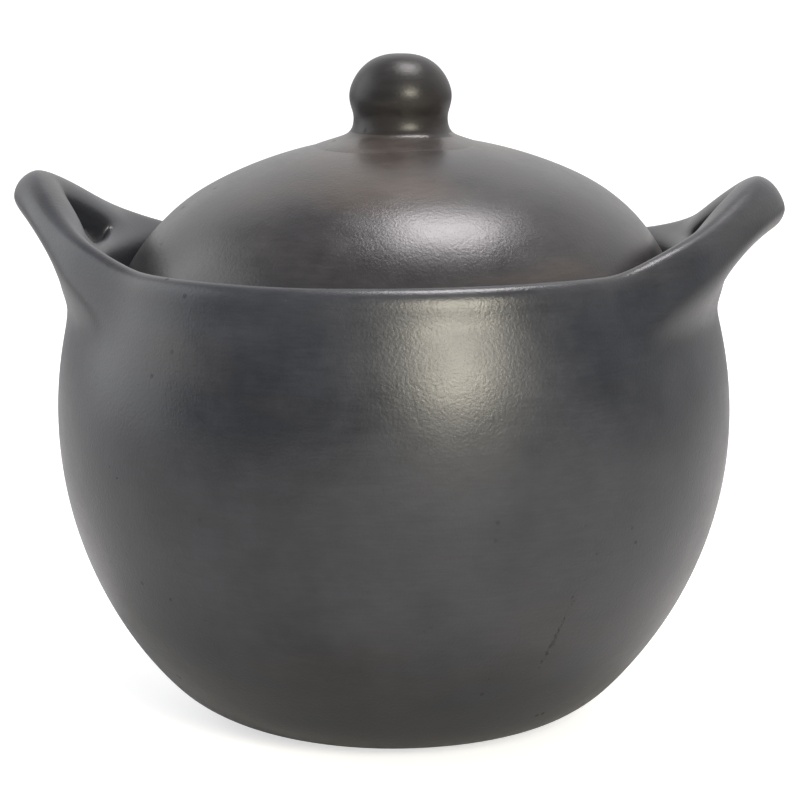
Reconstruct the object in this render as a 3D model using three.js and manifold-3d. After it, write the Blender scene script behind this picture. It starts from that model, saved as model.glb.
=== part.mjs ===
// A lidded pot of burnished black clay (barro negro), shaped and luted by hand.
//
// Millimetres, +Z up. The origin is the middle of the flat foot, on the ground.
// The two handles stand along X, and the widest level of the pot is a little
// below half of its height. Every piece that the potter forms on its own is a
// mesh of its own, with a hair's gap where it was luted to its neighbour.

import * as THREE from 'three'
import { mergeVertices } from 'three/addons/utils/BufferGeometryUtils.js'
import Module from 'manifold-3d'

const wasm = await Module()
wasm.setup()

// Pot body
const bellyRadius = 131.2 // outside, at the widest level
const bellyHeight = 120
const sideArc = 150.5 // radius of the one arc that the whole side follows
const footRadius = 52 // the flat that the pot stands on
const wall = 8
const seamHeight = 118 // mould-pressed base below, coil-built shoulder above

// Mouth
const rimBottom = 168
const rimTop = 183
const neckRadius = 121.6 // the slight waist just under the lip
const lipRadius = 120.6
const mouthRadius = 111
const lipDepth = 4 // how far down the lip's rounding begins
const lipOuterRound = [[0.7, 1.4], [2.6, 0]] // in from the lip's outside, down from its top
const lipInnerRound = [[2.4, 0], [0.6, 1.4]] // out from the mouth, down from the top
const ledgeRadius = 101 // inner edge of the coil that the lid rests on
const ledgeDepth = 12
const ledgeFace = 4 // height of the ledge's upright inner face
const ledgeRound = 1

// Handles: a clay coil bent into a loop that leans outwards and upwards
const strapHalfWidth = 10
const strapHalfHeight = 9
const mouthClearance = 0.5 // between the handles' inner arms and the mouth
const boreTop = 223 // above the tallest point of a handle
const handleRoute = [
  [84, 74, 156], // buried in the shoulder
  [103, 60, 172],
  [115, 45, 182],
  [125.5, 30, 191],
  [135, 15, 199],
  [139.5, 0, 203], // the middle of the grip
]

// Lid
const lidOffset = 2 // the lid lies a little off centre in its loose seat
const domeArc = 162
const domeHeight = 58.8 // apex above the lid's resting edge
const shoulderStart = 72 // where the dome turns into its steeper shoulder
const shoulderArc = 74
const lidThickness = 7
const lidEdge = 1.5 // height of the bevels at the lid's resting edge
const outerBevel = 1.2
const innerBevel = 1

// Knob
const knobTop = 90.2 // above the lid's resting edge
const headRadius = 19.6
const headMiddle = 74.2
const headUnderside = 68.3
const headRound = [[3.2, 0.5], [0.9, 2.4]] // in from the head's side, up from its underside
const shankRadius = 13
const collarTop = 68
const collarRadius = 18.3
const collarReach = 29 // where the smoothed collar runs out on the dome
const collarFlare = 7 // height of the sweep from the dome to the shank
const collarLip = 0.6 // thickness where the collar runs out
const collarRound = [[0.4, 1.2], [1.6, 0]] // in from the collar's side, down from its top

const gap = 0.3 // left between two pieces that are luted or rest together
const turns = 52 // facets round the pot

const deg = Math.PI / 180
const sideCentre = bellyRadius - sideArc

// The corner between the side and the foot is an arc tangent to both.
const cornerOut = footRadius - sideCentre
const cornerArc = (sideArc ** 2 - cornerOut ** 2 - bellyHeight ** 2) / (2 * (sideArc - bellyHeight))
const tangency = Math.atan2(cornerArc - bellyHeight, cornerOut)

const clay = (name, color, roughness) =>
  new THREE.MeshStandardMaterial({ name, color, roughness, metalness: 0 })

const point = (r, z) => new THREE.Vector2(r, z)

// Points on an arc about (r, z), between two angles measured from the outward side.
function arc(r, z, radius, from, to, steps) {
  const points = []
  for (let i = 0; i <= steps; i++) {
    const angle = from + ((to - from) * i) / steps
    points.push(point(r + radius * Math.cos(angle), z + radius * Math.sin(angle)))
  }
  return points
}

// The angle at which an arc about height z reaches another height.
const reach = (radius, z, height) => Math.asin((height - z) / radius)

// A solid turned about the Z axis. The profile runs anticlockwise: up the
// outside, in over the top, down the inside and back to where it began.
function turned(profile) {
  const onAxis = profile[0].x === 0 && profile[profile.length - 1].x === 0
  const closed = onAxis ? profile : [...profile, profile[0]]
  return new THREE.LatheGeometry(closed, turns).rotateX(90 * deg)
}

function piece(name, geometry, material) {
  const mesh = new THREE.Mesh(geometry, material)
  mesh.name = name
  return mesh
}

function toSolid(geometry) {
  const bare = geometry.clone()
  bare.deleteAttribute('normal')
  bare.deleteAttribute('uv')
  const merged = mergeVertices(bare, 1e-4)
  const vertProperties = new Float32Array(merged.attributes.position.array)
  const triVerts = new Uint32Array(merged.index.array)
  return new wasm.Manifold(new wasm.Mesh({ numProp: 3, vertProperties, triVerts }))
}

function toGeometry(solid) {
  const { vertProperties, triVerts } = solid.getMesh()
  const geometry = new THREE.BufferGeometry()
  geometry.setAttribute('position', new THREE.BufferAttribute(vertProperties, 3))
  geometry.setIndex(new THREE.BufferAttribute(triVerts, 1))
  geometry.computeVertexNormals()
  return geometry
}

// The side of the pot between two heights, at a depth inside the outer face.
function side(depth, low, high, steps) {
  const radius = sideArc - depth
  const from = reach(radius, bellyHeight, low)
  const to = reach(radius, bellyHeight, high)
  return arc(sideCentre, bellyHeight, radius, from, to, steps)
}

// The outer or inner face of the base, from its flat up to the seam.
function baseFace(depth, top) {
  const corner = arc(footRadius, cornerArc, cornerArc - depth, -90 * deg, tangency, 4)
  const radius = sideArc - depth
  const upTo = reach(radius, bellyHeight, top)
  const flank = arc(sideCentre, bellyHeight, radius, tangency, upTo, 6)
  return [...corner, ...flank.slice(1)]
}

// Mould-pressed lower half: foot, floor and flank up to the belly.
function baseBowl() {
  const outside = baseFace(0, seamHeight)
  const inside = baseFace(wall, seamHeight).reverse()
  return turned([point(0, 0), ...outside, ...inside, point(0, wall)])
}

// Coils built up and scraped to one wall, from the belly to the mouth.
function shoulderWall() {
  const low = seamHeight + gap
  return turned([...side(0, low, rimBottom, 4), ...side(wall, low, rimBottom, 4).reverse()])
}

const lipOutside = () => [
  point(neckRadius, rimBottom + lipDepth),
  point(lipRadius, rimTop - lipDepth),
  ...lipOuterRound.map(([inwards, down]) => point(lipRadius - inwards, rimTop - down)),
]

// The last coil, thickened and rounded into the lip.
function mouthRim() {
  const low = rimBottom + gap
  const start = side(0, low, low, 1)[0]
  return turned([
    start,
    ...lipOutside(),
    ...lipInnerRound.map(([outwards, down]) => point(mouthRadius + outwards, rimTop - down)),
    point(mouthRadius, rimTop - lipDepth),
    point(mouthRadius, low),
  ])
}

// The coil luted inside the mouth, which carries the edge of the lid.
function seatLedge() {
  const back = side(wall + gap, rimBottom - ledgeDepth, rimBottom, 2)
  return turned([
    ...back,
    point(ledgeRadius + ledgeRound, rimBottom),
    point(ledgeRadius, rimBottom - ledgeRound),
    point(ledgeRadius, rimBottom - ledgeFace),
  ])
}

// The outside of the pot as one full solid, a gap larger all round.
function potEnvelope() {
  const lip = lipOutside().map((p) => point(p.x + gap, p.y + gap))
  return turned([
    point(0, wall),
    point(bellyRadius / 2, wall),
    ...side(-gap, bellyHeight, rimBottom, 6),
    ...lip,
    point(0, rimTop + gap),
  ])
}

// A loop of clay coil, cut where it meets the shoulder and kept out of the mouth.
function loopHandle() {
  const nearArm = handleRoute.map(([x, y, z]) => new THREE.Vector3(x, -y, z))
  const farArm = handleRoute.map(([x, y, z]) => new THREE.Vector3(x, y, z)).reverse().slice(1)
  const route = new THREE.CatmullRomCurve3([...nearArm, ...farArm])
  const section = new THREE.Shape()
  section.absellipse(0, 0, strapHalfWidth, strapHalfHeight, 0, 2 * Math.PI)
  const loop = new THREE.ExtrudeGeometry(section, { extrudePath: route, steps: 30, curveSegments: 6 })
  const boreRadius = mouthRadius + mouthClearance
  const bore = turned([
    point(0, rimBottom),
    point(boreRadius, rimBottom),
    point(boreRadius, boreTop),
    point(0, boreTop),
  ])
  return toGeometry(toSolid(loop).subtract(toSolid(potEnvelope())).subtract(toSolid(bore)))
}

// One face of the lid, from near its edge to the apex, at a depth under the outside.
function domeFace(depth) {
  const centre = domeHeight - domeArc
  const turn = Math.acos(shoulderStart / domeArc)
  const towards = domeArc - shoulderArc
  const shoulderOut = towards * Math.cos(turn)
  const shoulderUp = centre + towards * Math.sin(turn)
  const from = reach(shoulderArc - depth, shoulderUp, lidEdge)
  const shoulder = arc(shoulderOut, shoulderUp, shoulderArc - depth, from, turn, 4)
  const crown = arc(0, centre, domeArc - depth, turn, 90 * deg, 7)
  crown[crown.length - 1].x = 0
  return [...shoulder, ...crown.slice(1)]
}

function lidDome() {
  const outside = domeFace(0)
  const inside = domeFace(lidThickness).reverse()
  const outerEdge = point(outside[0].x - outerBevel, 0)
  const innerEdge = point(inside[inside.length - 1].x + innerBevel, 0)
  return turned([...inside, innerEdge, outerEdge, ...outside])
}

// Height of the dome's outside at a radius, within the crown.
const domeAt = (r) => domeHeight - domeArc + Math.sqrt(domeArc ** 2 - r ** 2)

// The soft ring of clay smoothed down round the knob's shank.
function knobCollar() {
  const inner = shankRadius + gap
  const flare = collarReach - collarRadius
  const foot = domeAt(collarReach) + gap
  const flareTop = foot + collarFlare
  const sweep = arc(collarReach, flareTop, 1, -90 * deg, -180 * deg, 5)
  const flared = sweep.map((p) => point(
    collarReach + (p.x - collarReach) * flare,
    flareTop + (p.y - flareTop) * (collarFlare - collarLip),
  ))
  return turned([
    point(inner, domeAt(inner) + gap),
    point(collarReach, foot),
    ...flared,
    ...collarRound.map(([inwards, down]) => point(collarRadius - inwards, collarTop - down)),
    point(inner, collarTop),
  ])
}

// The round grip: a ball of clay, a little flattened on top, on a short shank.
function knob() {
  const height = knobTop - headMiddle
  const crown = arc(0, 0, 1, 0, 90 * deg, 8).map((p) => point(
    headRadius * p.x,
    headMiddle + height * p.y,
  ))
  crown[crown.length - 1].x = 0
  const bottom = domeHeight + gap
  return turned([
    point(0, bottom),
    point(shankRadius, bottom),
    point(shankRadius, headUnderside),
    ...headRound.map(([inwards, up]) => point(headRadius - inwards, headUnderside + up)),
    ...crown,
  ])
}

const group = new THREE.Group()

const pot = new THREE.Group()
group.add(pot)
pot.add(piece('base_bowl', baseBowl(), clay('burnished_base', 0x46494b, 0.42)))
pot.add(piece('shoulder_wall', shoulderWall(), clay('burnished_shoulder', 0x4a4d4f, 0.4)))
pot.add(piece('mouth_rim', mouthRim(), clay('burnished_rim', 0x55585a, 0.36)))
pot.add(piece('seat_ledge', seatLedge(), clay('unburnished_ledge', 0x3a3b3b, 0.7)))

const loop = loopHandle()
const rightHandle = piece('right_handle', loop, clay('burnished_right', 0x4c4f51, 0.38))
const leftHandle = piece('left_handle', loop, clay('burnished_left', 0x4c4f51, 0.38))
leftHandle.rotation.z = Math.PI
pot.add(rightHandle, leftHandle)

const lid = new THREE.Group()
lid.position.set(lidOffset, 0, rimBottom + gap)
group.add(lid)
lid.add(piece('lid_dome', lidDome(), clay('burnished_lid', 0x454748, 0.36)))
lid.add(piece('knob_collar', knobCollar(), clay('burnished_collar', 0x3c3e3f, 0.34)))
lid.add(piece('knob', knob(), clay('burnished_knob', 0x3c3e40, 0.32)))

export default group
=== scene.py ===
import math
import bpy
import bmesh
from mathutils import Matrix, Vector, noise


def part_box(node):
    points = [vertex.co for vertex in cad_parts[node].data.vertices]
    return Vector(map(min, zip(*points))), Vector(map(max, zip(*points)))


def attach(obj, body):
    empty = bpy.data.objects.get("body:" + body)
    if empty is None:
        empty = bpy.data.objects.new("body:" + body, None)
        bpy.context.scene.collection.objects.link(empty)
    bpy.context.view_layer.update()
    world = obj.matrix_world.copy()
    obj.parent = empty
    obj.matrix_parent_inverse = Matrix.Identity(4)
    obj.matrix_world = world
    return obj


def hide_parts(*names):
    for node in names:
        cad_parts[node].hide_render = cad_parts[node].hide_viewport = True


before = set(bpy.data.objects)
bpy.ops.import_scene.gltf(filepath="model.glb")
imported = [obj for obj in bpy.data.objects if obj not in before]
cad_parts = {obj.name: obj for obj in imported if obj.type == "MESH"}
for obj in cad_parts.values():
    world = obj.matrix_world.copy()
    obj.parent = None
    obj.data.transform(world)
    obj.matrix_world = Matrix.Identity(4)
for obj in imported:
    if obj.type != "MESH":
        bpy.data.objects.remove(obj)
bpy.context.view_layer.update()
print("frame loaded")

mm = 0.001

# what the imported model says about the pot
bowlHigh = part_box("base_bowl")[1]
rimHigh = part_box("mouth_rim")[1]
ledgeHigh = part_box("seat_ledge")[1]
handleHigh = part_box("right_handle")[1]
lidLow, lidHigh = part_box("lid_dome")
knobLow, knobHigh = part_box("knob")


# camera

camera = {
    "turn": math.radians(5),   # round the pot, towards the right handle
    "away": 1.1,
    "height": 0.322,
    "aim": 0.120,
    "lens": 128.3,
    "shift": (0.0081, 0.0113),
}


def makeCamera(c):
    eye = Vector((c["away"] * math.sin(c["turn"]), -c["away"] * math.cos(c["turn"]), c["height"]))
    data = bpy.data.cameras.new("camera")
    data.lens = c["lens"]
    data.shift_x, data.shift_y = c["shift"]
    obj = bpy.data.objects.new("camera", data)
    obj.location = eye
    obj.rotation_euler = (Vector((0, 0, c["aim"])) - eye).to_track_quat("-Z", "Y").to_euler()
    bpy.context.scene.collection.objects.link(obj)
    bpy.context.scene.camera = obj


makeCamera(camera)
print("camera placed")


# node helpers

number, vector, colour = "NodeSocketFloat", "NodeSocketVector", "NodeSocketColor"
white = (1, 1, 1, 1)
black = (0, 0, 0, 1)


# Links a socket to an input, or gives the input a plain value.
def feed(tree, value, socket):
    if isinstance(value, bpy.types.NodeSocket):
        tree.links.new(value, socket)
    else:
        socket.default_value = value


def addNode(tree, kind, inputs=None, **settings):
    node = tree.nodes.new(kind)
    for name, value in settings.items():
        setattr(node, name, value)
    for name, value in (inputs or {}).items():
        feed(tree, value, node.inputs[name])
    return node


def addMath(tree, operation, a, b=0.0, c=0.0, clamp=False):
    inputs = {0: a, 1: b, 2: c}
    return addNode(tree, "ShaderNodeMath", inputs, operation=operation, use_clamp=clamp).outputs[0]


# Adds up values, each multiplied by its share.
def addShares(tree, *parts):
    total = 0.0
    for value, share in parts:
        total = addMath(tree, "MULTIPLY_ADD", value, share, total)
    return total


def addVector(tree, operation, a, b):
    return addNode(tree, "ShaderNodeVectorMath", {0: a, 1: b}, operation=operation).outputs


def addRange(tree, value, low, high, toLow=0.0, toHigh=1.0, kind="SMOOTHSTEP"):
    inputs = {"Value": value, "From Min": low, "From Max": high, "To Min": toLow, "To Max": toHigh}
    return addNode(tree, "ShaderNodeMapRange", inputs, interpolation_type=kind).outputs[0]


def addMix(tree, factor, a, b, blend="MIX"):
    inputs = {0: factor, 6: a, 7: b}
    return addNode(tree, "ShaderNodeMix", inputs, data_type="RGBA", blend_type=blend).outputs[2]


def addNoise(tree, place, scale, detail, roughness=0.5, distortion=0.0):
    inputs = {"Vector": place, "Scale": scale, "Detail": detail, "Roughness": roughness,
              "Distortion": distortion}
    return addNode(tree, "ShaderNodeTexNoise", inputs).outputs["Fac"]


def addMapping(tree, place, scale, shift=(0.0, 0.0, 0.0)):
    inputs = {"Vector": place, "Location": shift, "Scale": scale}
    return addNode(tree, "ShaderNodeMapping", inputs).outputs[0]


def newGroup(name, inputs, outputs):
    tree = bpy.data.node_groups.new(name, "ShaderNodeTree")
    for label, kind, value in inputs:
        socket = tree.interface.new_socket(name=label, in_out="INPUT", socket_type=kind)
        if value is not None:
            socket.default_value = value
    for label, kind in outputs:
        tree.interface.new_socket(name=label, in_out="OUTPUT", socket_type=kind)
    return tree, tree.nodes.new("NodeGroupInput").outputs, tree.nodes.new("NodeGroupOutput").inputs


# surface effects, which every clay finish shares

burnishing = {
    "stretch": (0.11, 0.11, 1.0),   # draws the strokes out round the pot
    "swelling": 95.0,               # scale of the shallow swellings under the strokes
    "strokeRise": 0.03,             # shares of the relief
    "swellingRise": 0.42,
    "pebbleRise": 0.42,
    "strokeShare": 0.4,             # shares of the streaks
    "fineShare": 0.6,
}


# Strokes of the burnishing stone, which run round the pot, and the faint
# pebbling that the stone leaves between them.
def makeBurnish(b):
    tree, given, out = newGroup(
        "burnish",
        [("Place", vector, None), ("Stroke", number, 380.0), ("Fine", number, 1300.0),
         ("Pebble", number, 900.0)],
        [("Stroke", number), ("Height", number)],
    )
    drawn = addMapping(tree, given["Place"], b["stretch"])
    strokes = addNoise(tree, drawn, given["Stroke"], detail=4.0, roughness=0.6)
    fine = addNoise(tree, drawn, given["Fine"], detail=3.0, roughness=0.6)
    swellings = addNoise(tree, given["Place"], b["swelling"], detail=2.0)
    pebbles = addNoise(tree, given["Place"], given["Pebble"], detail=3.0, roughness=0.55)
    streaks = addShares(tree, (strokes, b["strokeShare"]), (fine, b["fineShare"]))
    height = addShares(tree, (strokes, b["strokeRise"]), (swellings, b["swellingRise"]),
                       (pebbles, b["pebbleRise"]))
    tree.links.new(streaks, out["Stroke"])
    tree.links.new(height, out["Height"])
    return tree


smoking = {
    "clouds": {"scale": 9.0, "detail": 4.0, "roughness": 0.62, "distortion": 0.6},
    "mottle": {"scale": 46.0, "detail": 5.0, "roughness": 0.65},
    "cloudShare": 0.65,
    "mottleShare": 0.35,
    "cloudEdges": (0.36, 0.64),
    "browns": {"scale": 12.0, "detail": 3.0, "roughness": 0.6},
    "brownShift": (3.1, 1.7, 0.4),      # keeps the brown patches apart from the clouds
    "brownStretch": (0.5, 0.5, 1.6),
    "brownEdges": (0.5, 0.68),
}


# Soft clouds that smoke and heat leave in the black, some cooler, some browner.
def makeSmoke(s):
    tree, given, out = newGroup(
        "smoke",
        [("Place", vector, None), ("Dark", colour, black), ("Light", colour, white),
         ("Brown", colour, white), ("Brownness", number, 0.3)],
        [("Color", colour), ("Cloud", number)],
    )
    clouds = addNoise(tree, given["Place"], **s["clouds"])
    mottle = addNoise(tree, given["Place"], **s["mottle"])
    shifted = addMapping(tree, given["Place"], s["brownStretch"], s["brownShift"])
    browns = addNoise(tree, shifted, **s["browns"])
    both = addShares(tree, (clouds, s["cloudShare"]), (mottle, s["mottleShare"]))
    cloud = addRange(tree, both, *s["cloudEdges"])
    grey = addMix(tree, cloud, given["Dark"], given["Light"])
    patches = addRange(tree, browns, *s["brownEdges"])
    brownMask = addMath(tree, "MULTIPLY", patches, given["Brownness"])
    tree.links.new(addMix(tree, brownMask, grey, given["Brown"]), out["Color"])
    tree.links.new(cloud, out["Cloud"])
    return tree


pitting = {
    "cells": 130.0,                 # scale of the cells that hold one pit each
    "patches": {"scale": 21.0, "detail": 3.0},
    "patchEdges": (0.56, 0.66),
    "scuffs": {"scale": 150.0, "detail": 6.0, "roughness": 0.7},
    "scuffStretch": (1.0, 1.0, 0.35),
    "scuffEdges": (0.62, 0.7),
    "scuffPatches": {"scale": 15.0, "detail": 2.0},
    "scuffPatchEdges": (0.6, 0.68),
}


# Small pits and short scuffs, sparse and in patches.
def makePits(p):
    tree, given, out = newGroup(
        "pits", [("Place", vector, None), ("Pit Size", number, 0.12)], [("Pit", number), ("Scuff", number)],
    )
    cells = addNode(tree, "ShaderNodeTexVoronoi", {"Vector": given["Place"], "Scale": p["cells"]})
    inCell = addMath(tree, "LESS_THAN", cells.outputs["Distance"], given["Pit Size"])
    inPatch = addRange(tree, addNoise(tree, given["Place"], **p["patches"]), *p["patchEdges"])
    drawn = addMapping(tree, given["Place"], p["scuffStretch"])
    scuffs = addRange(tree, addNoise(tree, drawn, **p["scuffs"]), *p["scuffEdges"])
    scuffPatches = addNoise(tree, given["Place"], **p["scuffPatches"])
    inScuffPatch = addRange(tree, scuffPatches, *p["scuffPatchEdges"])
    tree.links.new(addMath(tree, "MULTIPLY", inPatch, inCell), out["Pit"])
    tree.links.new(addMath(tree, "MULTIPLY", scuffs, inScuffPatch), out["Scuff"])
    return tree


rubbing = {
    "breaks": {"scale": 160.0, "detail": 4.0},
    "breakEdges": (0.3, 0.6),
    "least": 0.35,                  # of the wear is left in the breaks
}


# Where hands and the lid have rubbed the raised edges lighter.
def makeWear(r):
    tree, given, out = newGroup(
        "edgeWear", [("Place", vector, None), ("Start", number, 0.53), ("Full", number, 0.62)],
        [("Wear", number)],
    )
    raised = addNode(tree, "ShaderNodeNewGeometry").outputs["Pointiness"]
    edge = addRange(tree, raised, given["Start"], given["Full"], kind="LINEAR")
    patchy = addRange(tree, addNoise(tree, given["Place"], **r["breaks"]), *r["breakEdges"], r["least"])
    tree.links.new(addMath(tree, "MULTIPLY", edge, patchy, clamp=True), out["Wear"])
    return tree


chipping = {
    "flakes": {"scale": 380.0, "detail": 5.0, "roughness": 0.75},
    "flakeEdges": (0.46, 0.52),
}


# Chips and scrapes along one line from start to end.
def makeChips(c):
    tree, given, out = newGroup(
        "chips",
        [("Place", vector, None), ("Start", vector, None), ("End", vector, None), ("Reach", number, 0.002)],
        [("Chip", number)],
    )
    line = addVector(tree, "SUBTRACT", given["End"], given["Start"])["Vector"]
    offset = addVector(tree, "SUBTRACT", given["Place"], given["Start"])["Vector"]
    along = addVector(tree, "DOT_PRODUCT", offset, line)["Value"]
    whole = addVector(tree, "DOT_PRODUCT", line, line)["Value"]
    share = addMath(tree, "DIVIDE", along, whole, clamp=True)
    scaled = addNode(tree, "ShaderNodeVectorMath", {0: line, "Scale": share}, operation="SCALE")
    distance = addVector(tree, "DISTANCE", offset, scaled.outputs["Vector"])["Value"]
    near = addRange(tree, distance, 0.0, given["Reach"], toLow=1.0, toHigh=0.0, kind="LINEAR")
    flakes = addNoise(tree, given["Place"], **c["flakes"])
    both = addMath(tree, "MULTIPLY", near, flakes)
    tree.links.new(addRange(tree, both, *c["flakeEdges"]), out["Chip"])
    return tree


groups = {
    "burnish": makeBurnish(burnishing),
    "smoke": makeSmoke(smoking),
    "pits": makePits(pitting),
    "wear": makeWear(rubbing),
    "chips": makeChips(chipping),
}


def addGroup(tree, name, inputs):
    node = tree.nodes.new("ShaderNodeGroup")
    node.node_tree = groups[name]
    for label, value in inputs.items():
        feed(tree, value, node.inputs[label])
    return node.outputs


# clay finishes

potClay = {
    "dark": (0.0080, 0.0090, 0.0120, 1),
    "light": (0.0175, 0.0190, 0.0240, 1),
    "brown": (0.030, 0.024, 0.019, 1),
    "brownness": 0.3,
    "stroke": 380.0,                # scales of the burnishing
    "fine": 1300.0,
    "pebble": 900.0,
    "streakEdges": (0.38, 0.62),
    "streaks": (0.90, 1.10),        # how far the fine strokes darken and lighten the clay
    "strokeEdges": (0.35, 0.65),
    "roughness": (0.298, 0.322),    # on a stroke, between strokes
    "cloudDulls": 0.08,             # added to the roughness by clouds, pits and chips
    "pitDulls": 0.25,
    "chipDulls": 0.5,
    "worn": (0.075, 0.075, 0.073, 1),
    "wornCover": 0.55,              # how strongly wear, pits and scuffs colour the clay
    "pit": (0.008, 0.008, 0.008, 1),
    "pitCover": 0.75,
    "scuff": (0.016, 0.016, 0.016, 1),
    "scuffCover": 0.55,
    "relief": 0.00021,
    "pitDepth": 0.8,                # of the relief
    "ior": 1.45,
    # start, end and reach of each line of chips
    "chips": (((-0.0965, -0.0884, 0.1130), (-0.0931, -0.0922, 0.1096), 0.0045),
              ((0.0742, -0.0982, 0.0707), (0.0602, -0.0893, 0.0390), 0.0065),
              ((-0.0781, -0.0620, 0.0280), (-0.0744, -0.0639, 0.0258), 0.0045)),
}

lidClay = dict(potClay)
lidClay.update({
    "dark": (0.0095, 0.009, 0.0105, 1),
    "light": (0.020, 0.0190, 0.0205, 1),
    "brown": (0.060, 0.046, 0.037, 1),
    "brownness": 0.5,
    "roughness": (0.275, 0.300),
    "chips": (((-0.0715, -0.0741, 0.1897), (-0.0652, -0.0737, 0.1946), 0.0028),
              ((-0.0663, -0.0771, 0.1888), (-0.0632, -0.0787, 0.1893), 0.0026),
              ((0.0605, -0.0764, 0.1955), (0.0630, -0.0760, 0.1945), 0.0035)),
})

knobClay = dict(lidClay)
knobClay.update({
    "dark": (0.006, 0.0057, 0.006, 1),
    "light": (0.0125, 0.0118, 0.012, 1),
    "brownness": 0.12,
    "roughness": (0.31, 0.345),
    "relief": 0.00014,
    "ior": 1.33,
    "chips": (),
})


def makeClay(name, c):
    material = bpy.data.materials.new(name)
    material.use_nodes = True
    tree = material.node_tree
    shader = tree.nodes["Principled BSDF"]
    place = addNode(tree, "ShaderNodeTexCoord").outputs["Object"]
    burnish = addGroup(tree, "burnish", {"Place": place, "Stroke": c["stroke"], "Fine": c["fine"],
                                         "Pebble": c["pebble"]})
    smoke = addGroup(tree, "smoke", {"Place": place, "Dark": c["dark"], "Light": c["light"],
                                     "Brown": c["brown"], "Brownness": c["brownness"]})
    pits = addGroup(tree, "pits", {"Place": place})
    wear = addGroup(tree, "wear", {"Place": place})
    chips = 0.0
    for start, end, reach in c["chips"]:
        line = addGroup(tree, "chips", {"Place": place, "Start": start, "End": end, "Reach": reach})
        chips = addMath(tree, "MAXIMUM", line["Chip"], chips)

    color = smoke["Color"]
    marks = ((pits["Pit"], "pit"), (pits["Scuff"], "scuff"), (wear["Wear"], "worn"))
    for mask, mark in marks:
        color = addMix(tree, addMath(tree, "MULTIPLY", mask, c[mark + "Cover"]), color, c[mark])
    streaks = addRange(tree, burnish["Stroke"], *c["streakEdges"], *c["streaks"])
    tree.links.new(addMix(tree, 1.0, color, streaks, "MULTIPLY"), shader.inputs["Base Color"])

    strokes = addRange(tree, burnish["Stroke"], *c["strokeEdges"], *c["roughness"])
    duller = addShares(tree, (smoke["Cloud"], c["cloudDulls"]), (pits["Pit"], c["pitDulls"]),
                       (chips, c["chipDulls"]))
    tree.links.new(addMath(tree, "ADD", strokes, duller, clamp=True), shader.inputs["Roughness"])

    sunk = addMath(tree, "MAXIMUM", pits["Pit"], chips)
    relief = addMath(tree, "MULTIPLY_ADD", sunk, -c["pitDepth"], burnish["Height"])
    bump = addNode(tree, "ShaderNodeBump", {"Height": relief, "Strength": 1.0, "Distance": c["relief"]})
    tree.links.new(bump.outputs["Normal"], shader.inputs["Normal"])
    shader.inputs["IOR"].default_value = c["ior"]
    return material


materials = {
    "pot": makeClay("burnishedPotClay", potClay),
    "lid": makeClay("burnishedLidClay", lidClay),
    "knob": makeClay("burnishedKnobClay", knobClay),
}
print("clay finishes made")


# shaping helpers

def clamp(value):
    return min(max(value, 0), 1)


def arcPoints(centre, radius, start, end, steps):
    turns = [start + (end - start) * i / steps for i in range(steps + 1)]
    return [(centre[0] + radius * math.cos(turn), centre[1] + radius * math.sin(turn)) for turn in turns]


# Sorts edges and faces by their vertices, because merging leaves them in another order each run.
def fixOrder(bm):
    bm.verts.index_update()
    count = len(bm.verts)

    def rank(part):
        lowest = sorted(v.index for v in part.verts)[:3]
        return sum(index * count ** (3 - i) for i, index in enumerate(lowest))

    bm.edges.sort(key=rank)
    bm.faces.sort(key=rank)


# A profile in the XZ plane, turned once round the Z axis.
def turnProfile(points, segments):
    bm = bmesh.new()
    verts = [bm.verts.new((r, 0, z)) for r, z in points]
    edges = [bm.edges.new(pair) for pair in zip(verts, verts[1:])]
    bmesh.ops.spin(bm, geom=verts + edges, cent=(0, 0, 0), axis=(0, 0, 1), dvec=(0, 0, 0),
                   angle=2 * math.pi, steps=segments, use_merge=True)
    bmesh.ops.remove_doubles(bm, verts=bm.verts, dist=0.01 * mm)
    bmesh.ops.recalc_face_normals(bm, faces=bm.faces)
    fixOrder(bm)
    return bm


# The unevenness of a hand-built wall: long, shallow hollows and swellings.
def unevenByHand(bm, u):
    bm.normal_update()
    offset = Vector((u["seed"], u["seed"] * 0.7, u["seed"] * 1.3))
    moves = [(v, v.normal * noise.noise(v.co / u["length"] + offset) * u["depth"]) for v in bm.verts]
    footTop = 1.5 * mm   # the foot stays flat
    for v, move in moves:
        if v.co.z > footTop:
            v.co += move


def finishPiece(bm, name, body, nodes, material, levels=2):
    mesh = bpy.data.meshes.new(name)
    bmesh.ops.recalc_face_normals(bm, faces=bm.faces)
    for face in bm.faces:
        face.smooth = True
    bm.to_mesh(mesh)
    bm.free()
    mesh.materials.append(material)
    obj = bpy.data.objects.new(name, mesh)
    bpy.context.scene.collection.objects.link(obj)
    subdivide = obj.modifiers.new("smooth", "SUBSURF")
    subdivide.levels = subdivide.render_levels = levels
    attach(obj, body)
    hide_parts(*nodes)
    return obj


# pot: one wall from foot to lip, with the lid's ledge inside and two handles drawn out of the rim

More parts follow.
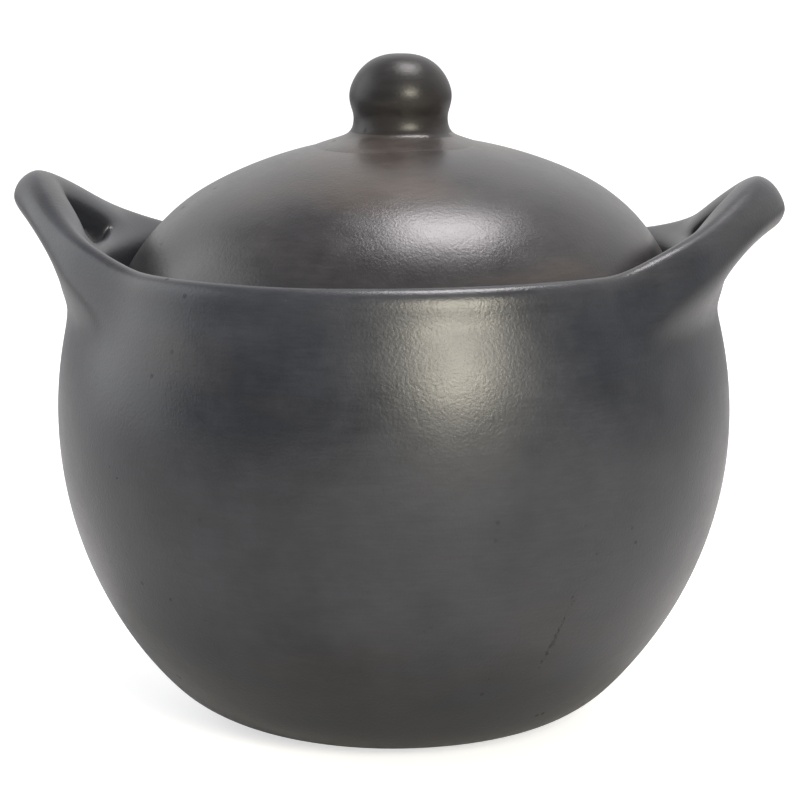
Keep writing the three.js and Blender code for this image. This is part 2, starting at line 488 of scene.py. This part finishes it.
pot = {
    "segments": 64,
    "sideArc": 150.5 * mm,      # radius of the arc that the side follows
    "bellyHeight": 120 * mm,
    "foot": 52 * mm,
    "wall": 8 * mm,
    "sideStop": 6 * mm,         # the arcs outside and inside end this far below the ledge's face
    "insideStop": 19 * mm,
    "outsideSteps": (5, 12),    # round the foot, up the side
    "insideSteps": (9, 4),      # down the side, round the foot
    # radius and height in mm, the neck's and the ledge's from the ledge's face, the lip's from its top
    "neck": ((122.9, 1.5),),
    "lip": ((121.8, -9), (121.0, -4.2), (118.6, -0.5), (114.6, -0.1), (111.9, -2.6), (111.1, -7)),
    "ledge": ((111.0, 2), (109.4, 0.1), (103.6, 0), (101.2, -1.4), (101.4, -5), (105.5, -9.5),
              (113.0, -13.5)),
    "crest": 5,                 # rows from the top of the side to the crest of the lip
    "uneven": {"depth": 0.55 * mm, "length": 55 * mm, "seed": 2.0},
    "rimLift": 1.9 * mm,        # how far the lip climbs towards each handle
    "rimRise": 1.2 * mm,        # how far it stands above its drawn height elsewhere
    "rimTilt": 1.2 * mm,        # the lip is a little higher on the right
    "liftDepth": 12 * mm,       # height over which the lift fades in
    "liftStart": math.radians(52),   # from the middle of a handle
    "liftOver": math.radians(34),
}

handle = {
    "right": {
        "side": 1,
        "twist": 2.4 * mm,      # its front arm stands higher than its back arm
        "under": (14, 11.6, 10.6, 10.6, 11.2, 11.8, 12.2),
    },
    "left": {
        "side": -1,
        "twist": 0.0,
        "under": (11, 7.8, 6.8, 6.8, 7.6, 8.4, 8.8),
    },
    # root: first and last face of the wall that an arm grows from, counted from the middle
    # spread: how much of that broad root is left at each station
    "front": {"hand": -1, "root": (1, 6), "spread": (0.42, 0.17, 0.05, 0, 0, 0, 0)},
    "back": {"hand": 1, "root": (1, 5), "spread": (0.26, 0.08, 0, 0, 0, 0, 0)},
    "slope": math.radians(40.3),
    "route": ((0, 60), (16, 44), (47.9, 12), (47.9, 0)),   # up the slope, and across it, in mm
    "stations": (0.3, 0.4, 0.52, 0.64, 0.76, 0.87, 0.96),
    "wide": (11.4, 11.0, 10.6, 10.3, 10.0, 9.9, 9.9),      # half widths and thicknesses, in mm
    "over": (6.4, 8.0, 8.8, 9.2, 9.3, 9.3, 9.2),
    "roundness": 0.42,          # 0.5 for an oval section, less for a squarer one
    "hold": 1.1,                # more of the root is kept on the inner side, which rounds the finger hole
    "innerSide": -0.9,          # across the section, where the inner side starts
    "easing": 3,                # rounds of smoothing where the arm leaves the rim on its inner side
    "easedStations": 2,
}


# Gives the points of the pot's section, and its first and last row that the arms grow from.
def potProfile(p):
    side = bowlHigh.x - p["sideArc"]
    out = p["foot"] - side
    arc, level, wall = p["sideArc"], p["bellyHeight"], p["wall"]
    corner = (arc ** 2 - out ** 2 - level ** 2) / (2 * (arc - level))
    tangent = math.atan2(corner - level, out)
    down = -math.pi / 2
    outsideTop = math.asin((ledgeHigh.z - p["sideStop"] - level) / arc)
    insideTop = math.asin((ledgeHigh.z - p["insideStop"] - level) / (arc - wall))
    footCentre, sideCentre = (p["foot"], corner), (side, level)
    outside = arcPoints(footCentre, corner, down, tangent, p["outsideSteps"][0])
    outside += arcPoints(sideCentre, arc, tangent, outsideTop, p["outsideSteps"][1])[1:]
    inside = arcPoints(sideCentre, arc - wall, insideTop, tangent, p["insideSteps"][0])
    inside += arcPoints(footCentre, corner - wall, tangent, down, p["insideSteps"][1])[1:]
    rim = []
    for part, base in (("neck", ledgeHigh.z), ("lip", rimHigh.z), ("ledge", ledgeHigh.z)):
        rim += [(r * mm, base + z * mm) for r, z in p[part]]
    floorMiddle = p["foot"] / 2
    points = [(0, 0), (floorMiddle, 0)] + outside + rim + inside + [(floorMiddle, wall), (0, wall)]
    sideTop = 1 + len(outside)
    return points, (sideTop, sideTop + p["crest"])


def liftRim(bm, p):
    for v in bm.verts:
        height = clamp((v.co.z - ledgeHigh.z) / p["liftDepth"])
        if height == 0:
            continue
        turn = math.atan2(abs(v.co.y), abs(v.co.x))
        near = clamp((p["liftStart"] - turn) / p["liftOver"])
        climb = p["rimLift"] * near * near * (3 - 2 * near)
        rise = (p["rimRise"] + p["rimTilt"] * v.co.x / rimHigh.x) * (1 - near)
        v.co.z += (climb + rise) * height


# The point at share t of a curved route, and the way that the route heads there.
def followRoute(route, t):
    knots = [Vector((along * mm, away * mm, 0)) for along, away in route]
    while len(knots) > 2:
        knots = [a.lerp(b, t) for a, b in zip(knots, knots[1:])]
    return knots[0].lerp(knots[1], t), (knots[1] - knots[0]).normalized()


# Draws one arm of a handle out of the rim, ring by ring, and leaves its end open for the other arm.
def drawArm(bm, rows, h, loop, arm):
    row = bm.verts.layers.int["row"]
    side, hand = loop["side"], arm["hand"]
    low, high = rows
    first, last = arm["root"]
    middle, half = (first + last + 1) / 2, (last + 1 - first) / 2
    step = 2 * math.pi / pot["segments"]
    slack = 0.4   # of a face

    def turnOf(v):
        return math.atan2(v.co.y * hand, v.co.x * side) / step

    def inRoot(v):
        return low <= v[row] <= high and first - slack < turnOf(v) < last + 1 + slack

    def innerOf(spots):
        return [v for v, spot in spots.items() if spot[0] < h["innerSide"]]

    # each vertex keeps its share across the root, its share up it, and its place there
    faces = [f for f in bm.faces if all(inRoot(v) for v in f.verts)]
    spots = {}
    for v in [v for f in faces for v in f.verts]:
        upRows = 2 * (v[row] - low) / (high - low) - 1
        spots[v] = ((round(turnOf(v)) - middle) / half, upRows, v.co.copy())
    rootCentre = sum((v.co for v in spots), Vector()) / len(spots)
    inner = innerOf(spots)

    slopeWay = Vector((side * math.cos(h["slope"]), 0, math.sin(h["slope"])))
    facing = Vector((-side * math.sin(h["slope"]), 0, math.cos(h["slope"])))
    grip = Vector((side * (handleHigh.x - h["wide"][-1] * mm), 0, handleHigh.z - h["over"][-1] * mm))
    foot = grip - slopeWay * h["route"][-1][0] * mm
    for i, t in enumerate(h["stations"]):
        point, heads = followRoute(h["route"], t)
        centre = foot + slopeWay * point.x + Vector((0, hand * point.y, -hand * loop["twist"] * (1 - t)))
        heading = slopeWay * heads.x + Vector((0, hand * heads.y, 0))
        outward = heading.cross(facing).normalized() * (-side * hand)
        result = bmesh.ops.extrude_face_region(bm, geom=faces)["geom"]
        known = {tuple(round(x, 7) for x in v.co): spot for v, spot in spots.items() if v.is_valid}
        moved = [g for g in result if isinstance(g, bmesh.types.BMVert)]
        spots = {v: known[tuple(round(x, 7) for x in v.co)] for v in moved}
        bmesh.ops.delete(bm, geom=[f for f in faces if f.is_valid], context="FACES")
        faces = [g for g in result if isinstance(g, bmesh.types.BMFace)]
        for v, (u, w, root) in spots.items():
            thick = h["over"][i] if w > 0 else loop["under"][i]
            section = centre + facing * (w * math.sqrt(1 - u * u * h["roundness"]) * thick * mm)
            section += outward * (u * math.sqrt(1 - w * w * h["roundness"]) * h["wide"][i] * mm)
            share = min(arm["spread"][i] * (1 + h["hold"] * max(-u, 0)), 1)
            v.co = section.lerp(root + centre - rootCentre, share)
        if i < h["easedStations"]:
            inner += innerOf(spots)

    patch = set(faces)
    outline = [e for f in faces for e in f.edges if sum(g in patch for g in e.link_faces) == 1]
    bmesh.ops.delete(bm, geom=faces, context="FACES")
    for i in range(h["easing"]):
        bmesh.ops.smooth_vert(bm, verts=inner, factor=0.5, use_axis_x=True, use_axis_y=True, use_axis_z=True)
    return outline


def makePot(p, h):
    profile, rows = potProfile(p)
    bm = turnProfile(profile, p["segments"])
    row = bm.verts.layers.int.new("row")
    for v in bm.verts:
        r = math.hypot(v.co.x, v.co.y)
        v[row] = min(range(len(profile)), key=lambda i: math.dist((r, v.co.z), profile[i]))
    liftRim(bm, p)
    bm.normal_update()
    for loop in (h["right"], h["left"]):
        back = drawArm(bm, rows, h, loop, h["back"])
        front = drawArm(bm, rows, h, loop, h["front"])
        bmesh.ops.bridge_loops(bm, edges=back + front)
    loose = [v for v in bm.verts if not v.link_faces]
    bmesh.ops.delete(bm, geom=loose, context="VERTS")
    unevenByHand(bm, p["uneven"])
    nodes = ("base_bowl", "shoulder_wall", "mouth_rim", "seat_ledge", "right_handle", "left_handle")
    return finishPiece(bm, "clayPot", "pot", nodes, materials["pot"])


makePot(pot, handle)
print("pot and handles made")


# lid

lid = {
    "segments": 56,
    "domeArc": 162 * mm,
    "shoulderStart": 72 * mm,   # where the dome turns into its steeper shoulder
    "shoulderArc": 74 * mm,
    "thickness": 7 * mm,
    "steps": (8, 6),            # down the dome, down the shoulder
    "outerStop": 3.2 * mm,      # the faces outside and inside end this far above the seat
    "innerStop": 2.4 * mm,
    # the rounded edge, in mm: out from the end of each face, and up from the seat
    "outerEdge": ((0.1, 1.2), (-1.6, 0)),
    "innerEdge": ((1.8, 0), (0.3, 0.8)),
    "lean": 0.0227,             # the crown stands a little over to the left
    "leanFrom": 0.4,            # share of the height over which the lean fades in
    "uneven": {"depth": 0.45 * mm, "length": 48 * mm, "seed": 5.0},
}


def lidProfile(p):
    rest, apex, arc, small = lidLow.z, lidHigh.z, p["domeArc"], p["shoulderArc"]
    turn = math.acos(p["shoulderStart"] / arc)
    crown = (0, apex - arc)
    shoulder = ((arc - small) * math.cos(turn), crown[1] + (arc - small) * math.sin(turn))
    domeSteps, shoulderSteps = p["steps"]

    def face(depth, above):
        stop = math.asin((rest + above - shoulder[1]) / (small - depth))
        top = arcPoints(crown, arc - depth, math.pi / 2, turn, domeSteps)
        top[0] = (0, top[0][1])
        return top + arcPoints(shoulder, small - depth, turn, stop, shoulderSteps)[1:]

    outside = face(0, p["outerStop"])
    inside = face(p["thickness"], p["innerStop"])
    edge = [(outside[-1][0] + r * mm, rest + z * mm) for r, z in p["outerEdge"]]
    edge += [(inside[-1][0] + r * mm, rest + z * mm) for r, z in p["innerEdge"]]
    return outside + edge + inside[::-1]


def makeLid(p):
    bm = turnProfile(lidProfile(p), p["segments"])
    for v in bm.verts:
        up = (v.co.z - lidLow.z) / (lidHigh.z - lidLow.z)
        v.co.z += p["lean"] * v.co.x * clamp(up / p["leanFrom"])
        v.co.x -= p["lean"] * (v.co.z - lidLow.z)
    unevenByHand(bm, p["uneven"])
    bmesh.ops.translate(bm, verts=bm.verts, vec=((lidLow.x + lidHigh.x) / 2, 0, 0))
    return finishPiece(bm, "lidShell", "lid", ("lid_dome",), materials["lid"])


makeLid(lid)
print("lid made")


# knob: a ball of clay on a short shank, with its foot smoothed out over the lid

knob = {
    "segments": 40,
    "smearTop": 228.2 * mm,     # below this the foot is finished with the lid
    "aside": 0.8 * mm,          # the head sits a little to the right
    "drawnTop": 258.5,          # the height that the outline is drawn for, in mm
    # radius and height in mm, from the top down; the last two points close it inside the lid
    "outline": ((0, 258.8), (5.4, 258.6), (10.4, 257.1), (14.6, 254.1), (17.8, 250.0), (19.75, 245.2),
                (19.9, 241.6), (19.2, 238.6), (18.4, 236.4), (18.1, 234.4), (18.2, 232.4), (18.6, 230.6),
                (19.6, 228.8), (21.4, 227.5), (24.2, 226.5), (28.0, 225.3), (32.5, 223.9), (38.0, 221.7),
                (34, 221.5), (0, 222)),
    "uneven": {"depth": 0.3 * mm, "length": 22 * mm, "seed": 9.0},
}


def makeKnob(p):
    raised = knobHigh.z - p["drawnTop"] * mm
    bm = turnProfile([(r * mm, z * mm + raised) for r, z in p["outline"]], p["segments"])
    unevenByHand(bm, p["uneven"])
    bmesh.ops.translate(bm, verts=bm.verts, vec=((knobLow.x + knobHigh.x) / 2 + p["aside"], 0, 0))
    for face in bm.faces:
        face.material_index = int(face.calc_center_median().z < p["smearTop"])
    nodes = ("knob", "knob_collar")
    obj = finishPiece(bm, "knobAndCollar", "lid", nodes, materials["knob"])
    obj.data.materials.append(materials["lid"])
    return obj


makeKnob(knob)
print("knob made")


# studio: a pale floor that fills the view, a pale room and three soft boxes

studio = {
    "floor": 14.0,
    "floorDrop": 0.1 * mm,              # a hair below the foot
    "floorColor": (0.56, 0.56, 0.56, 1),
    "floorRoughness": 0.8,
    "floorGlow": 0.62,                  # seen by the camera alone, so that the floor stays white
    "front": (0.36, 0.38, 0.43, 1),     # the dim room behind the camera
    "frontHigh": (0.58, 0.60, 0.65, 1),
    "back": (0.88, 0.88, 0.88, 1),
    "backHigh": (1.34, 1.33, 1.32, 1),
    "above": (0.45, 0.45, 0.47, 1),
    # where one shade turns into the next, along the way that a ray points
    "frontClimb": (0.15, 0.5),
    "backClimb": (0.0, 0.5),
    "frontToBack": (-0.45, 0.55),
    "ceiling": (0.6, 0.95),
    "aim": 0.15,                        # height that the soft boxes point at
    "key": {"size": 0.6, "power": 40, "color": (1.0, 0.93, 0.76), "turn": 26, "rise": 20, "away": 1.7},
    "top": {"size": 0.70, "power": 34, "color": (1.0, 0.95, 0.96), "turn": 99, "rise": 79.5, "away": 1.6},
    "side": {"size": 1.6, "power": 16, "color": (0.97, 0.98, 1.0), "turn": -93, "rise": 18, "away": 1.8},
}


def makeFloor(p):
    bm = bmesh.new()
    bmesh.ops.create_grid(bm, x_segments=8, y_segments=8, size=p["floor"])
    bmesh.ops.translate(bm, verts=bm.verts, vec=(0, 0, -p["floorDrop"]))
    mesh = bpy.data.meshes.new("floor")
    bm.to_mesh(mesh)
    bm.free()
    floor = bpy.data.objects.new("floor", mesh)
    bpy.context.scene.collection.objects.link(floor)
    paint = bpy.data.materials.new("paleFloor")
    paint.use_nodes = True
    shader = paint.node_tree.nodes["Principled BSDF"]
    shader.inputs["Base Color"].default_value = p["floorColor"]
    shader.inputs["Roughness"].default_value = p["floorRoughness"]
    seen = addNode(paint.node_tree, "ShaderNodeLightPath").outputs["Is Camera Ray"]
    glow = addMath(paint.node_tree, "MULTIPLY", seen, p["floorGlow"])
    shader.inputs["Emission Color"].default_value = white
    paint.node_tree.links.new(glow, shader.inputs["Emission Strength"])
    mesh.materials.append(paint)


def makeSoftBox(name, p, height):
    data = bpy.data.lights.new(name, "AREA")
    data.shape = "SQUARE"
    data.size = p["size"]
    data.energy = p["power"]
    data.color = p["color"]
    turn, rise = math.radians(p["turn"]), math.radians(p["rise"])
    way = Vector((math.sin(turn) * math.cos(rise), -math.cos(turn) * math.cos(rise), math.sin(rise)))
    obj = bpy.data.objects.new(name, data)
    obj.location = Vector((0, 0, height)) + way * p["away"]
    obj.rotation_euler = (-way).to_track_quat("-Z", "Y").to_euler()
    bpy.context.scene.collection.objects.link(obj)


# The room is dim in front of the pot, brighter behind it, and white where the camera sees it.
def makeRoom(p):
    world = bpy.data.worlds.new("room")
    world.use_nodes = True
    tree = world.node_tree
    ray = addNode(tree, "ShaderNodeTexCoord").outputs["Generated"]
    way = addNode(tree, "ShaderNodeSeparateXYZ", {0: ray}).outputs
    behind = addMix(tree, addRange(tree, way["Z"], *p["backClimb"]), p["back"], p["backHigh"])
    before = addMix(tree, addRange(tree, way["Z"], *p["frontClimb"]), p["front"], p["frontHigh"])
    walls = addMix(tree, addRange(tree, way["Y"], *p["frontToBack"]), before, behind)
    room = addMix(tree, addRange(tree, way["Z"], *p["ceiling"]), walls, p["above"])
    seen = addNode(tree, "ShaderNodeLightPath").outputs["Is Camera Ray"]
    tree.links.new(addMix(tree, seen, room, white), tree.nodes["Background"].inputs["Color"])
    bpy.context.scene.world = world


makeFloor(studio)
makeSoftBox("keyBox", studio["key"], studio["aim"])
makeSoftBox("topBox", studio["top"], studio["aim"])
makeSoftBox("sideBox", studio["side"], studio["aim"])
makeRoom(studio)
bpy.context.scene.view_settings.view_transform = "Standard"
print("studio lit")
